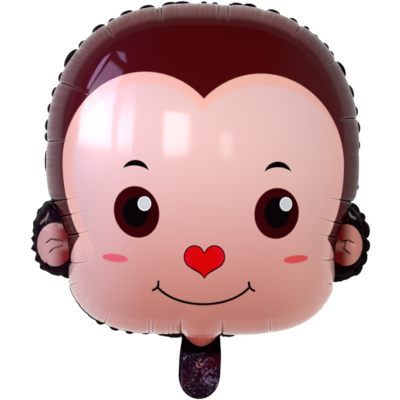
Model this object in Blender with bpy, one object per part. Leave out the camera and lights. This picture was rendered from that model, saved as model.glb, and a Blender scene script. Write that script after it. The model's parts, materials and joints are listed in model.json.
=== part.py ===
"""Foil monkey balloon lying on its back, face up, in metres with +Z up.

One sealed film envelope: a large head, two ears, a small bulge under the chin and a flat filling tail.
The front and back films meet in one seam plane, and a narrow crimped seam stands out around the edge.
"""
import math

import bmesh
import bpy
import numpy as np

# Head: its outline is a superellipse that turns narrower and squarer from the crown to the chin
HEAD_WIDTH = 0.417
HEAD_HEIGHT = 0.442
HEAD_DEPTH = 0.250
CHIN_WIDTH = 0.382
CROWN_SQUARENESS = 2.6
CHIN_SQUARENESS = 3.75
NARROWING_BELOW_CENTRE = 0.060
NARROWING_LENGTH = 0.120

# Ears: rounded lobes at the head's sides, measured where they stand free of it
EAR_LENGTH = 0.106
EAR_WIDTH = 0.076
EAR_DEPTH = 0.058
EAR_REACH = 0.031
EAR_BELOW_CENTRE = 0.092
EAR_SQUARENESS = 2.3

# Bulge where the head's film runs into the filling tail
NECK_WIDTH = 0.054
NECK_LENGTH = 0.064
NECK_DEPTH = 0.044
NECK_REACH = 0.015
NECK_SQUARENESS = 2.4

# Filling tail: two films lying flat on each other
TAIL_WIDTH = 0.056
TAIL_REACH = 0.086
TAIL_OVERLAP = 0.030
TAIL_THICKNESS = 0.005
TAIL_EDGE = 0.0015
TAIL_SQUARENESS = 2.7

# Seam: the welded edge, and the crimps that the inflated film pulls into it
SEAM_WIDTH = 0.004
SEAM_THICKNESS = 0.002
CRIMP_LENGTH = 0.040
CRIMP_DEPTH = 0.0022
CRIMP_START = 0.80
STEPS_PER_CRIMP = 4

# The back rests on a small flat spot
FLAT_SPOT_WIDTH = 0.090

HEAD_RINGS = 11
SMALL_LOBE_RINGS = 5
FLAT_CENTRE_SHARE = 0.10
CURVE_SAMPLES = 4001

FOIL_COLOUR = (0.80, 0.50, 0.46, 1.0)
FOIL_ROUGHNESS = 0.14
FOIL_METALLIC = 0.35
SHARP_ANGLE = math.radians(35)


def ease(share):
    """Smooth step from 0 to 1."""
    share = np.clip(share, 0.0, 1.0)
    return share * share * (3 - 2 * share)


def superellipse_turn(half_width, half_length, squareness, turn):
    """Points of a superellipse, starting at the top; width and squareness may vary along it."""
    across, along = -np.sin(turn), np.cos(turn)
    power = 2 / squareness
    x = half_width * np.sign(across) * np.abs(across) ** power
    y = half_length * np.sign(along) * np.abs(along) ** power
    return np.stack([x, y], axis=1)


def even_points(curve, count):
    """The closed curve again, as count points an even length apart."""
    steps = np.linalg.norm(np.diff(curve, axis=0), axis=1)
    run = np.concatenate([[0.0], np.cumsum(steps)])
    stops = np.linspace(0.0, run[-1], count, endpoint=False)
    return np.stack([np.interp(stops, run, curve[:, axis]) for axis in (0, 1)], axis=1)


def crimp_count(curve):
    """An even number of crimps of about the named length around the curve."""
    length = np.linalg.norm(np.diff(curve, axis=0), axis=1).sum()
    return 2 * max(2, round(length / (2 * CRIMP_LENGTH)))


def head_curve():
    """The head's outline in the seam plane, around the head's centre."""
    turn = np.linspace(0.0, 2 * math.pi, CURVE_SAMPLES)
    lower = ease(0.5 - np.cos(turn))
    squareness = CROWN_SQUARENESS + (CHIN_SQUARENESS - CROWN_SQUARENESS) * lower
    height = superellipse_turn(1.0, HEAD_HEIGHT / 2, squareness, turn)[:, 1]
    return superellipse_turn(head_half_width(height), HEAD_HEIGHT / 2, squareness, turn)


def head_half_width(height):
    """Half of the head's width before its corners are rounded, narrower below the centre."""
    narrowed = ease((-NARROWING_BELOW_CENTRE - height) / NARROWING_LENGTH + 0.5)
    return (HEAD_WIDTH + (CHIN_WIDTH - HEAD_WIDTH) * narrowed) / 2


def oval_curve(width, length, squareness):
    """A superellipse outline around its own centre."""
    turn = np.linspace(0.0, 2 * math.pi, CURVE_SAMPLES)
    return superellipse_turn(width / 2, length / 2, squareness, turn)


def film_profile(shares):
    """Height of an inflated round film over a share of its radius, 1 at the centre and 0 at the seam.

    The slope of the film at a share r of the radius is r squared over the root of 1 minus r to the fourth.
    """
    angle = np.linspace(0.0, math.pi / 2, CURVE_SAMPLES)
    slope = np.sin(angle) ** 2 / np.sqrt(1 + np.sin(angle) ** 2)
    fall = np.concatenate([[0.0], np.cumsum((slope[1:] + slope[:-1]) / 2 * np.diff(angle))])
    return 1 - np.interp(np.arcsin(shares), angle, fall) / fall[-1]


def ring_shares(first, count):
    """Shares of the radius for the rings of one film, closer together towards the seam."""
    return np.sin(np.linspace(math.asin(first), math.pi / 2, count))


def lobe_rows(curve, depth, rings, flat_share):
    """Rings of an inflated lobe from the middle of its front, over the seam, to the middle of its back.

    Inner rings are ellipses and outer ones take the outline. Near the seam each ring is drawn in at
    the crimps, which are half sine arches along the outline.
    """
    crimps = crimp_count(curve)
    points = even_points(curve, crimps * STEPS_PER_CRIMP)
    radius = np.linalg.norm(points, axis=1)
    half_width, half_length = np.abs(points).max(axis=0)
    unit = points / radius[:, None]
    oval_radius = 1 / np.hypot(unit[:, 0] / half_width, unit[:, 1] / half_length)
    arch = np.abs(np.sin(math.pi * np.arange(len(points)) / STEPS_PER_CRIMP))
    height = (depth - SEAM_THICKNESS) / 2

    def ring(share, level, outward=0.0):
        reach = share * (oval_radius + (radius - oval_radius) * share ** 2)
        reach = reach - CRIMP_DEPTH * (1 - arch) * ease((share - CRIMP_START) / (1 - CRIMP_START))
        flat = unit * (reach + outward)[:, None]
        return np.column_stack([flat, np.full(len(flat), level)])

    seam = SEAM_THICKNESS / 2
    front = ring_shares(FLAT_CENTRE_SHARE, rings)
    back = ring_shares(flat_share, rings)[::-1]
    rows = [ring(share, seam + height * float(film_profile(share))) for share in front]
    rows += [ring(1.0, seam, SEAM_WIDTH), ring(1.0, -seam, SEAM_WIDTH)]
    rows += [ring(share, -seam - height * float(film_profile(share))) for share in back]
    return rows


def slab_rows(curve, thickness, edge):
    """Rings of a flat slab with a narrow chamfer around both faces."""
    points = even_points(curve, 2 * crimp_count(curve) * STEPS_PER_CRIMP)
    inner = points * (1 - edge / np.abs(points).max(axis=0))
    half = thickness / 2
    levels = ((inner, half), (points, half - edge), (points, edge - half), (inner, -half))
    return [np.column_stack([flat, np.full(len(flat), level)]) for flat, level in levels]


def mesh_from_rows(name, rows, centre=(0.0, 0.0)):
    """A closed mesh of rings joined by quads, with a flat face on the first and on the last ring."""
    ring_size = len(rows[0])
    vertices = np.concatenate(rows) + np.array([centre[0], centre[1], 0.0])
    here = np.arange(ring_size)
    after = np.roll(here, -1)
    faces = [here.tolist(), ((len(rows) - 1) * ring_size + here[::-1]).tolist()]
    for row in range(len(rows) - 1):
        near, far = row * ring_size, (row + 1) * ring_size
        faces += np.stack([near + here, far + here, far + after, near + after], axis=1).tolist()
    mesh = bpy.data.meshes.new(name)
    mesh.from_pydata(vertices.tolist(), [], faces)
    shape = bmesh.new()
    shape.from_mesh(mesh)
    bmesh.ops.recalc_face_normals(shape, faces=shape.faces)
    shape.to_mesh(mesh)
    shape.free()
    return mesh


def add_object(name, mesh, parent):
    """One object of the model, placed from the seam plane."""
    thing = bpy.data.objects.new(name, mesh)
    thing.parent = parent
    bpy.context.scene.collection.objects.link(thing)
    return thing


def join_guide(balloon, guide):
    """Unite a lobe with the balloon; the lobe's own object only guides the join."""
    guide.hide_render = True
    guide.display_type = "WIRE"
    join = balloon.modifiers.new(guide.name, "BOOLEAN")
    join.operation = "UNION"
    join.solver = "EXACT"
    join.object = guide


def foil_material():
    """Printed foil: the print's pale pink over a bright metal film."""
    material = bpy.data.materials.new("printed_foil")
    material.use_nodes = True
    shader = material.node_tree.nodes["Principled BSDF"]
    shader.inputs["Base Color"].default_value = FOIL_COLOUR
    shader.inputs["Roughness"].default_value = FOIL_ROUGHNESS
    shader.inputs["Metallic"].default_value = FOIL_METALLIC
    return material


def ear_centre_x():
    """Distance of an ear's centre from the middle, so that the ear reaches past the head's side."""
    side = float(head_half_width(np.array(-EAR_BELOW_CENTRE)))
    return side + EAR_REACH - EAR_WIDTH / 2


def build():
    """Clear the scene and model the balloon."""
    for old in list(bpy.data.objects):
        bpy.data.objects.remove(old, do_unlink=True)

    head = lobe_rows(head_curve(), HEAD_DEPTH, HEAD_RINGS, FLAT_SPOT_WIDTH / HEAD_WIDTH)
    tail_length = TAIL_REACH + TAIL_OVERLAP
    tail_y = -HEAD_HEIGHT / 2 - TAIL_REACH + tail_length / 2
    top = max(row[:, 1].max() for row in head)
    bottom = tail_y - tail_length / 2

    seam_plane = bpy.data.objects.new("seam_plane", None)
    seam_plane.location = (0.0, -(top + bottom) / 2, -head[-1][0, 2])
    bpy.context.scene.collection.objects.link(seam_plane)

    balloon = add_object("foil_balloon", mesh_from_rows("foil_balloon", head), seam_plane)

    ear = lobe_rows(oval_curve(EAR_WIDTH, EAR_LENGTH, EAR_SQUARENESS), EAR_DEPTH, SMALL_LOBE_RINGS,
                    FLAT_CENTRE_SHARE)
    for name, side in (("left_ear_guide", -1), ("right_ear_guide", 1)):
        mesh = mesh_from_rows(name, ear, (side * ear_centre_x(), -EAR_BELOW_CENTRE))
        join_guide(balloon, add_object(name, mesh, seam_plane))

    neck = lobe_rows(oval_curve(NECK_WIDTH, NECK_LENGTH, NECK_SQUARENESS), NECK_DEPTH, SMALL_LOBE_RINGS,
                     FLAT_CENTRE_SHARE)
    neck_y = -HEAD_HEIGHT / 2 - NECK_REACH + NECK_LENGTH / 2
    join_guide(balloon, add_object("neck_guide", mesh_from_rows("neck_guide", neck, (0.0, neck_y)), seam_plane))

    tail = slab_rows(oval_curve(TAIL_WIDTH, tail_length, TAIL_SQUARENESS), TAIL_THICKNESS, TAIL_EDGE)
    join_guide(balloon, add_object("tail_guide", mesh_from_rows("tail_guide", tail, (0.0, tail_y)), seam_plane))

    balloon.data.materials.append(foil_material())
    balloon.data.shade_smooth()
    balloon.data.set_sharp_from_angle(angle=SHARP_ANGLE)


build()
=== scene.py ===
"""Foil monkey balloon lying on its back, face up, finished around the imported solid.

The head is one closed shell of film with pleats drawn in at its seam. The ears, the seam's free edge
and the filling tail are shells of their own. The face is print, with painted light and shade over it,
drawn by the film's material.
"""
import json
import math

import bpy
import numpy as np
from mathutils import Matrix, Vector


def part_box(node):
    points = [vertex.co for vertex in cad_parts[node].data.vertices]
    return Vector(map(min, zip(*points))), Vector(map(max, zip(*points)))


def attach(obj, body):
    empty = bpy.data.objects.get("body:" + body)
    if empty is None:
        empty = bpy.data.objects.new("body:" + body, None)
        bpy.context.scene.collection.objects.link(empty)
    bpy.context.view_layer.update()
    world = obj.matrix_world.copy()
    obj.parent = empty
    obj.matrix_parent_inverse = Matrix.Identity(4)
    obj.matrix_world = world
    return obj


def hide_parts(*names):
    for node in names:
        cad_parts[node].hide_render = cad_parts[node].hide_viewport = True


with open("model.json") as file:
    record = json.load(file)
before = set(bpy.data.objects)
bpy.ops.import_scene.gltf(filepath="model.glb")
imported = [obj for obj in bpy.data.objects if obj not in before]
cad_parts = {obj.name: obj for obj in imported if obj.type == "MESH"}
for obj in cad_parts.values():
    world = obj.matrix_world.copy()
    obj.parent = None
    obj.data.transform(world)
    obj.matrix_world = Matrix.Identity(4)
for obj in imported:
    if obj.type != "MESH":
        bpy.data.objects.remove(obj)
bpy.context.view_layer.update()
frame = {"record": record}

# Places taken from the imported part
mounts = {mount["name"]: mount["pos_m"] for mount in frame["record"]["mounts"]}
HEAD_CENTRE = np.array(mounts["back_rest"][:2])
TAIL_HALF_THICKNESS = 0.0025
TAIL_OVERHANG = 0.0012
SEAM_HEIGHT = mounts["tail_front"][2] - TAIL_HALF_THICKNESS
TAIL_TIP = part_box("foil_balloon")[0].y - TAIL_OVERHANG
FLOOR_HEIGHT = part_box("foil_balloon")[0].z

# Head film, in the seam plane
HEAD_WIDTH = 0.419
HEAD_HEIGHT = 0.444
HEAD_DEPTH = 0.250
CHIN_WIDTH = 0.384
CROWN_SQUARENESS = 2.6
CHIN_SQUARENESS = 3.9
NARROWING_BELOW_CENTRE = 0.060
NARROWING_LENGTH = 0.120
EAR_DENT = 0.0095
EAR_DENT_BELOW_CENTRE = 0.099
EAR_DENT_HALF_LENGTH = 0.064
EAR_DENT_POWER = 1.3
NECK_HALF_WIDTH = 0.0241
NECK_REACH = 0.0160
NECK_POINT = 1.68
RIM_PULL = 8
CURVE_SAMPLES = 7200
HEIGHT_SAMPLES = 1001

# Mesh of the head film
COLUMNS = 1440
FRONT_RIM_RINGS = 22
FRONT_CENTRE_RINGS = 22
BACK_RIM_RINGS = 10
BACK_CENTRE_RINGS = 13
RIM_BAND = 0.19
RIM_SMOOTHING = 0.014
LEAN_SMOOTHING = 0.050
LEAN_STRENGTH = 1.25
CROWDING = 6.5
CROWDING_WIDTH = 0.0030
LEAST_NORMAL = 1e-12

# Print: one unit is this long on the film; x runs to the right and y down, from the print's corner
UNIT = 0.00134
PRINT_WIDTH = 400
PRINT_MIDDLE = PRINT_WIDTH / 2
PRINT_ORIGIN = np.array([-0.0031, -0.0002])
PRINT_ROLL = math.radians(0.5)
VIEW_DISTANCE = 3.0
MILLIMETRES = 1000

# Pleats at the seam: foot x and y and length in print units, depth in millimetres
PLEATS = (
    (157.5, 10, 17, 3.4), (161.5, 9, 21, 3.0), (105.9, 25, 21, 3.8), (79, 49, 11, 3.0), (61, 83, 33, 3.8),
    (48, 142, 24, 3.2), (56, 200.5, 30, 3.6), (64, 215, 30, 3.6), (66, 234.5, 30, 3.6), (69, 261, 25, 3.0),
    (72, 284, 11, 2.6), (105, 322, 13, 2.2), (149.5, 331, 17, 1.7), (153.5, 331.5, 17, 1.7),
    (163, 332, 13, 0.8), (169, 333, 14, 0.8), (174, 333, 14, 0.8), (181, 335, 21, 3.4),
    (221.5, 335, 18, 3.4), (270, 331, 17, 1.8), (334, 284, 11, 2.4), (337, 258.3, 21, 2.4),
    (338, 236.8, 23, 3.2), (341, 223, 28, 3.2), (351, 201.3, 31, 3.6), (359.5, 153.5, 12, 0.9),
    (354, 119, 23, 3.2), (334.5, 61, 16, 3.0), (299, 27, 19, 3.0), (264, 11, 15, 1.3),
    (231, 9, 17, 1.3), (227.7, 9, 22, 2.2), (222.5, 9, 17, 1.6), (218.4, 9, 22, 2.2),
)
PLEAT_WIDTH = 0.0009
PLEAT_FADE = 0.8
PULL_WIDTH = 0.0080
PULL_SHARE = 0.30
PULL_FADE = 2
CREASE_WIDTH = 0.0008
CREASE_FADE = 0.6
RIDGE_OFFSET = 0.0021
FULL_CREASE_DEPTH = 0.0022

# Seeded wrinkles. Their width is in pleat widths; depth and length are multiplied by the first gain, plus
# the second one times how low they lie
WRINKLES = 120
WRINKLE_DEPTH = (0.00015, 0.0006)
WRINKLE_LENGTH = (0.008, 0.018)
WRINKLE_WIDTH = (0.8, 1.6)
DEPTH_GAIN = (0.35, 0.9)
LENGTH_GAIN = (0.7, 0.5)

# Scallops of the seam's free edge: middle x and y, half length and reach beyond the film, in print units
CROWN_SCALLOPS = (
    (45, 161, 11, 2.0), (46.5, 137, 5, 2.8), (46.5, 125, 6, 2.8), (49.5, 108, 5, 2.8), (55, 92, 5.5, 2.8),
    (61, 77, 5.5, 2.8), (71, 58, 11.5, 4.2), (81, 44, 5, 2.6), (98, 27.5, 8, 3.6), (111, 20, 4, 2.4),
    (126, 12, 7, 3.2), (147, 7.5, 8, 3.2), (169, 4.5, 8.5, 3.0), (181.5, 2, 8.5, 3.0), (204, 2, 3.5, 2.6),
    (215.5, 4, 3.5, 2.4), (236, 5.5, 8, 3.0), (250, 6, 7, 3.4), (274, 11, 7, 3.0), (294, 20, 5, 2.6),
    (306.5, 28, 3.5, 2.6), (317, 35, 3, 1.6), (326.5, 45.5, 4.5, 2.4), (332.5, 53, 3.5, 2.0),
    (342.5, 68, 9, 3.5), (352, 91, 7, 2.8), (355.5, 111, 5, 2.2), (358, 127, 6, 2.4), (361, 145, 4, 1.6),
    (357, 187, 3, 1.6),
)
LEFT_CHIN_SCALLOPS = (
    (74, 291, 12, 1.2), (82, 308, 12, 1.7), (91, 317, 9, 2.0), (100, 322.5, 5, 3.4), (114, 328.5, 5, 3.0),
    (129, 333, 4, 3.0), (146, 334, 4, 1.8), (167, 335, 9, 2.8), (175, 336, 11, 4.0), (181, 337, 5, 4.4),
)
RIGHT_CHIN_SCALLOPS = ((222, 336, 4, 3.2), (228, 335.5, 7, 2.6))
LEFT_EAR_TEETH = (
    (45, 202, 5, 1.8), (38.5, 210, 6, 2.6), (33.5, 222, 7, 3.0), (31, 231, 5, 2.4), (30.5, 238, 5, 4.0),
    (31.8, 248.6, 4.5, 4.2), (36, 259.5, 4.5, 3.4), (41, 267.5, 5, 3.4), (50, 272, 5, 1.5),
    (59, 275, 5, 1.8), (68, 277, 7, 4.4),
)
RIGHT_EAR_SCALLOPS = (
    (356, 206, 9, 3.0), (362, 217, 4.2, 4.0), (367, 229, 9.4, 5.2), (368, 245, 7.0, 5.4),
    (366, 258.5, 7.2, 5.2), (359, 270, 7.0, 5.0), (349, 277, 8, 3.0), (337, 281, 8, 4.6),
)
SEAM_WIDTH = 0.0052
SEAM_THICKNESS = 0.0004
SEAM_ROOT = 0.0012
SEAM_STEP = 0.0008
HIDDEN_REACH = 0.0003
VISIBLE_REACH = 0.0011
EAR_SEAM_REACH = 0.0014
HEAD_SEAM_SMOOTHING = 0.006
EAR_SEAM_SMOOTHING = 0.004

# Section of the free edge: shares of its width, and the powers of them by which it runs out and down
STRIP_SHARES = np.array([0.0, 0.35, 0.7, 1.0])
STRIP_OUT_POWER = 0.8
STRIP_DOWN_POWER = 1.5

# Stretches of the head's free edge: start and end on the print, its scallops and its reach between them
HEAD_SEAMS = (
    ("crown_seam", (352, 199), (54, 198), CROWN_SCALLOPS, HIDDEN_REACH),
    ("left_chin_seam", (70, 280), (184, 337), LEFT_CHIN_SCALLOPS, VISIBLE_REACH),
    ("right_chin_seam", (220, 337), (333, 285), RIGHT_CHIN_SCALLOPS, HIDDEN_REACH),
)

# Ears
EAR_HALF_WIDTH = 0.0360
EAR_HALF_LENGTH = 0.0515
EAR_DEPTH = 0.058
EAR_SQUARENESS = 2.3
EAR_COLUMNS = 320
EAR_CENTRE_RINGS = 32
EAR_RIM_RINGS = 12
EAR_CRIMPS = 16
EAR_CRIMP_DEPTH = 0.0012

# Creases of the ears: start and end in print units, depth and half width in millimetres; ridges are below 0
# and their film is painted pale, as a highlight
LEFT_EAR_FOLDS = (
    ((45.6, 243), (51.3, 238.8), 1.8, 1.4), ((51.3, 238.8), (63, 241), 2.4, 1.6),
    ((49, 252.5), (54, 248), 2.0, 1.4), ((54, 248), (64, 245.5), 2.4, 1.6),
    ((45.5, 221), (48.5, 213), -0.8, 2.2), ((40.5, 224), (44.5, 219), -0.6, 1.8),
    ((47, 204), (56, 210), 1.6, 2.6), ((52, 199), (60, 206), 1.4, 2.4), ((58, 205), (64, 214), 1.8, 2.6),
    ((46, 262), (50, 270), 1.2, 3.0), ((40, 256), (35, 262), 1.0, 2.4),
)
RIGHT_EAR_FOLDS = (
    ((341, 241.5), (348.7, 240), 2.4, 1.6), ((348.7, 240), (354, 243), 1.6, 1.4),
    ((345.6, 241), (344.4, 249), 1.8, 1.4), ((351, 243.8), (354.5, 245.6), -0.8, 1.6),
    ((342, 247), (350.5, 254.5), 2.2, 1.6), ((348.7, 211.5), (350.8, 216), -0.8, 1.8),
    ((350.8, 216), (355.5, 218.8), -0.8, 1.8), ((344, 216), (350, 224), 1.4, 2.6),
    ((356, 223), (362, 229), 1.2, 2.4), ((352, 206), (358, 212), 1.2, 2.4),
    ((352, 266), (357, 271), 1.2, 3.0), ((362, 252), (366, 259), 1.0, 2.4),
)
# How strongly the folds' creases take their painted shade and highlight
FOLD_DARKNESS = 2.0
FOLD_END = 0.12

# Filling tail; shares count from its top to its tip
TAIL_TOP = -0.172
TAIL_HALF_WIDTH = 0.0282
TAIL_TOP_HALF_WIDTH = 0.0252
TAIL_WIDEST_SHARE = 0.45
TAIL_ROUND_SHARE = 0.62
TAIL_ROUND_POWER = 2.3
TAIL_LEAST_WIDTH = 1e-4
TAIL_LEAN = -0.0022
TAIL_LEAN_SHARE = 0.9
TAIL_MARGIN = 0.0042
TAIL_FLAT_MARGIN = 0.6
TAIL_ROWS = 190
TAIL_COLUMNS = 120
TAIL_FOLDS = 120
TAIL_FOLD_CORNER = np.array([176.0, 350.0])
TAIL_FOLD_SPAN = np.array([48.0, 50.0])
TAIL_FOLD_SLOPE = (0.12, 0.42)
TAIL_FOLD_LENGTH = (0.005, 0.018)
TAIL_FOLD_WIDTH = (0.0010, 0.0030)
TAIL_BACK_RELIEF = 0.6

# Windows beside the balloon, as the head mirrors them. Each pane has the print places of its left and
# right edge from the top down, its brightness, the share of its width that fades at its edges, the share
# of the brightness that its top has, and the share of its height from which it turns lilac
PANE_DISTANCE = 2.6
LILAC_BLEND = 0.5
MIRROR_STEPS = 6
SLOPE_STEP = 0.001
PANES = (
    ("left_window", (((111, 58.5), (124.4, 70.5)), ((102, 70.5), (118, 87)), ((88.5, 91), (114, 105)),
                     ((80, 112), (113, 122)), ((77.5, 149), (113, 157))), 12.0, 0.07, 0.60, 0.25),
    ("left_window_edge", (((104.5, 57), (111.5, 52.5)), ((93.5, 74), (100.5, 70)), ((86, 89), (88.5, 90.5))),
     11.0, 0.05, 1.0, -0.5),
    ("far_window", (((116, 50.5), (124.8, 52.5)), ((121, 59.5), (127, 63.5))), 6.4, 0.10, 1.0, -0.5),
    ("middle_window", (((129, 78), (136, 80)), ((122, 100), (136, 102)), ((117, 124), (135, 125)),
                       ((116, 160), (133, 160))), 11.0, 0.16, 0.30, 0.25),
    ("near_window", (((162.5, 109), (190.5, 112)), ((162.5, 160), (190.5, 160))), 13.0, 0.14, 0.8, 1.0),
    ("small_window", (((219, 130), (234, 130)), ((219, 161), (234, 161))), 5.5, 0.22, 0.8, 1.0),
)

rng = np.random.default_rng(18)


def ease(share):
    """Smooth step from 0 to 1."""
    share = np.clip(share, 0.0, 1.0)
    return share * share * (3 - 2 * share)


def signed_power(value, power):
    """A power of a value's size, with the value's sign."""
    return np.sign(value) * np.abs(value) ** power


def turned(x, y, angle):
    """The x and y of a place along axes that are turned by an angle."""
    return x * math.cos(angle) + y * math.sin(angle), y * math.cos(angle) - x * math.sin(angle)


def print_units(points):
    """Where points of the film lie on the print, looked at from the view's distance above the seam."""
    closer = VIEW_DISTANCE / (VIEW_DISTANCE - (points[..., 2] - SEAM_HEIGHT))
    right, up = turned(points[..., 0] - PRINT_ORIGIN[0], points[..., 1] - PRINT_ORIGIN[1], PRINT_ROLL)
    return np.stack([PRINT_MIDDLE + right * closer / UNIT, PRINT_MIDDLE - up * closer / UNIT], axis=-1)


def seam_place(units):
    """Points of the seam plane, around the head's centre, at places given in print units."""
    place = turned(units[..., 0] - PRINT_MIDDLE, PRINT_MIDDLE - units[..., 1], -PRINT_ROLL)
    return np.stack(place, axis=-1) * UNIT + PRINT_ORIGIN - HEAD_CENTRE


def film_profile(shares):
    """Height of an inflated round film over a share of its radius, 1 at the centre and 0 at the seam.

    The slope of the film at a share r of the radius is r squared over the root of 1 minus r to the fourth.
    """
    angle = np.linspace(0.0, math.pi / 2, CURVE_SAMPLES)
    slope = np.sin(angle) ** 2 / np.sqrt(1 + np.sin(angle) ** 2)
    fall = np.concatenate([[0.0], np.cumsum((slope[1:] + slope[:-1]) / 2 * np.diff(angle))])
    return 1 - np.interp(np.arcsin(shares), angle, fall) / fall[-1]


def head_outline(drawn):
    """The head's outline in the seam plane around its centre, from the crown to the left.

    It is a superellipse whose squareness grows from the crown to the chin, and whose width eases to the
    chin's. Where drawn, each side is drawn in at the ear by a power of 1 less the squared share of the
    dent's half length, and the chin runs out into the neck by 1 less a power of the share of the neck's
    half width.
    """
    turn = np.linspace(0.0, 2 * math.pi, CURVE_SAMPLES, endpoint=False)
    across, along = -np.sin(turn), np.cos(turn)
    power = 2 / (CROWN_SQUARENESS + (CHIN_SQUARENESS - CROWN_SQUARENESS) * ease(0.5 - along))
    y = HEAD_HEIGHT / 2 * signed_power(along, power)
    narrowed = ease((-NARROWING_BELOW_CENTRE - y) / NARROWING_LENGTH + 0.5)
    x = (HEAD_WIDTH + (CHIN_WIDTH - HEAD_WIDTH) * narrowed) / 2 * signed_power(across, power)
    if drawn:
        ear = np.clip(1 - ((y + EAR_DENT_BELOW_CENTRE) / EAR_DENT_HALF_LENGTH) ** 2, 0.0, 1.0)
        at_side = np.abs(x) > HEAD_WIDTH / 4
        x = x - np.sign(x) * EAR_DENT * ear ** EAR_DENT_POWER * at_side
        neck = np.clip(1 - np.abs(x / NECK_HALF_WIDTH) ** NECK_POINT, 0.0, 1.0)
        y = y - NECK_REACH * neck * (y < 0)
    return np.stack([x, y], axis=1)


def bearings(points):
    """Angles of a closed curve's points around its centre, running on without a jump."""
    return np.unwrap(np.arctan2(points[:, 1], points[:, 0]))


def by_angle(curve, values):
    """Values at a closed curve's points, as a function of the angle."""
    angle = bearings(curve)
    return lambda sought: np.interp(sought, angle, values, period=2 * math.pi)


plain_outline = head_outline(False)
drawn_outline = head_outline(True)
plain_radius = by_angle(plain_outline, np.linalg.norm(plain_outline, axis=1))
drawn_radius = by_angle(drawn_outline, np.linalg.norm(drawn_outline, axis=1))


def lean_at(angles):
    """Tangent of the angle by which the plain outline's outward normal leans from its radius."""
    normals = curve_normals(plain_outline, run_along(plain_outline), LEAN_SMOOTHING)
    gap = np.arctan2(normals[:, 1], normals[:, 0]) - bearings(plain_outline)
    return by_angle(plain_outline, np.tan(wrapped(gap, 2 * math.pi)))(angles)


def film_reach(shares, angle):
    """Distance from the head's centre to a share of the film's radius, at an angle.

    Inner rings are ellipses and take the plain outline with the square of the share. The ears' dents and
    the neck come in with its eighth power, close to the rim.
    """
    oval = 1 / np.hypot(np.cos(angle) / (HEAD_WIDTH / 2), np.sin(angle) / (HEAD_HEIGHT / 2))
    plain, drawn = plain_radius(angle), drawn_radius(angle)
    return shares * (oval + (plain - oval) * shares ** 2 + (drawn - plain) * shares ** RIM_PULL)


def film_height(point):
    """Height of the smooth front film above the seam at one point of the plan, around the head's centre."""
    shares = np.linspace(0.0, 1.0, HEIGHT_SAMPLES)
    reach = film_reach(shares, np.arctan2(point[1], point[0]))
    return HEAD_DEPTH / 2 * float(film_profile(np.interp(np.hypot(*point), reach, shares)))


def mirrored(unit):
    """A place of the print as a point in space, and the direction in which the film mirrors the view there.

    The direction of view is turned around the film's normal, which comes from the slope of its height.
    """
    flat = seam_place(np.array(unit)) + HEAD_CENTRE - PRINT_ORIGIN
    point = flat + PRINT_ORIGIN - HEAD_CENTRE
    for _ in range(MIRROR_STEPS):
        height = film_height(point)
        point = flat * (VIEW_DISTANCE - height) / VIEW_DISTANCE + PRINT_ORIGIN - HEAD_CENTRE
    steps = np.eye(2) * SLOPE_STEP
    slope = [(film_height(point + step) - film_height(point - step)) / (2 * SLOPE_STEP) for step in steps]
    normal = np.array([-slope[0], -slope[1], 1.0]) / math.sqrt(1 + slope[0] ** 2 + slope[1] ** 2)
    spot = np.array([*(point + HEAD_CENTRE), SEAM_HEIGHT + height])
    view = spot - np.array([*PRINT_ORIGIN, SEAM_HEIGHT + VIEW_DISTANCE])
    view /= np.linalg.norm(view)
    return spot, view - 2 * (view @ normal) * normal


def run_along(curve):
    """Length along a closed curve to each of its points, and back to the first."""
    steps = np.linalg.norm(np.diff(curve, axis=0, append=curve[:1]), axis=1)
    return np.concatenate([[0.0], np.cumsum(steps)])


def at_run(curve, run, places):
    """Points of a closed curve at lengths along it."""
    closed = np.concatenate([curve, curve[:1]])
    places = np.mod(places, run[-1])
    return np.stack([np.interp(places, run, closed[:, axis]) for axis in (0, 1)], axis=-1)


def nearest_run(curve, run, points):
    """Lengths along a closed curve to where it passes nearest to each point."""
    gaps = np.linalg.norm(points[:, None, :] - curve[None, :, :], axis=2)
    return run[gaps.argmin(axis=1)]


def curve_normals(curve, run, smoothing):
    """Outward unit normals of a closed curve, averaged over a length of it."""
    tangent = np.roll(curve, -1, axis=0) - np.roll(curve, 1, axis=0)
    normal = np.stack([tangent[:, 1], -tangent[:, 0]], axis=1)
    width = 2 * int(smoothing / run[-1] * len(curve) / 2) + 1
    window = np.hanning(width + 2)[1:-1]
    padded = np.concatenate([normal[-width:], normal, normal[:width]])
    normal = np.stack([np.convolve(padded[:, axis], window, "same") for axis in (0, 1)], axis=1)[width:-width]
    return normal / np.linalg.norm(normal, axis=1, keepdims=True)


def wrapped(gap, length):
    """Signed gap along a closed curve, the short way round."""
    return np.mod(gap + length / 2, length) - length / 2


def surface_normals(grid):
    """Unit normals of a grid of points whose columns close on themselves."""
    down = np.gradient(grid, axis=0)
    along = np.roll(grid, -1, axis=1) - np.roll(grid, 1, axis=1)
    normal = np.cross(down, along)
    return normal / np.maximum(np.linalg.norm(normal, axis=2, keepdims=True), LEAST_NORMAL)


def ring_shares(centre_rings, rim_rings):
    """Shares of the radius for a film's rings: even steps along the film, much closer in the rim's band."""
    inner = np.linspace(0.0, 1 - RIM_BAND, centre_rings + 1)[1:]
    outer = np.linspace(1 - RIM_BAND, 1.0, rim_rings + 1)[1:]
    return np.sin(math.pi / 2 * np.concatenate([inner, outer]))


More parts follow.
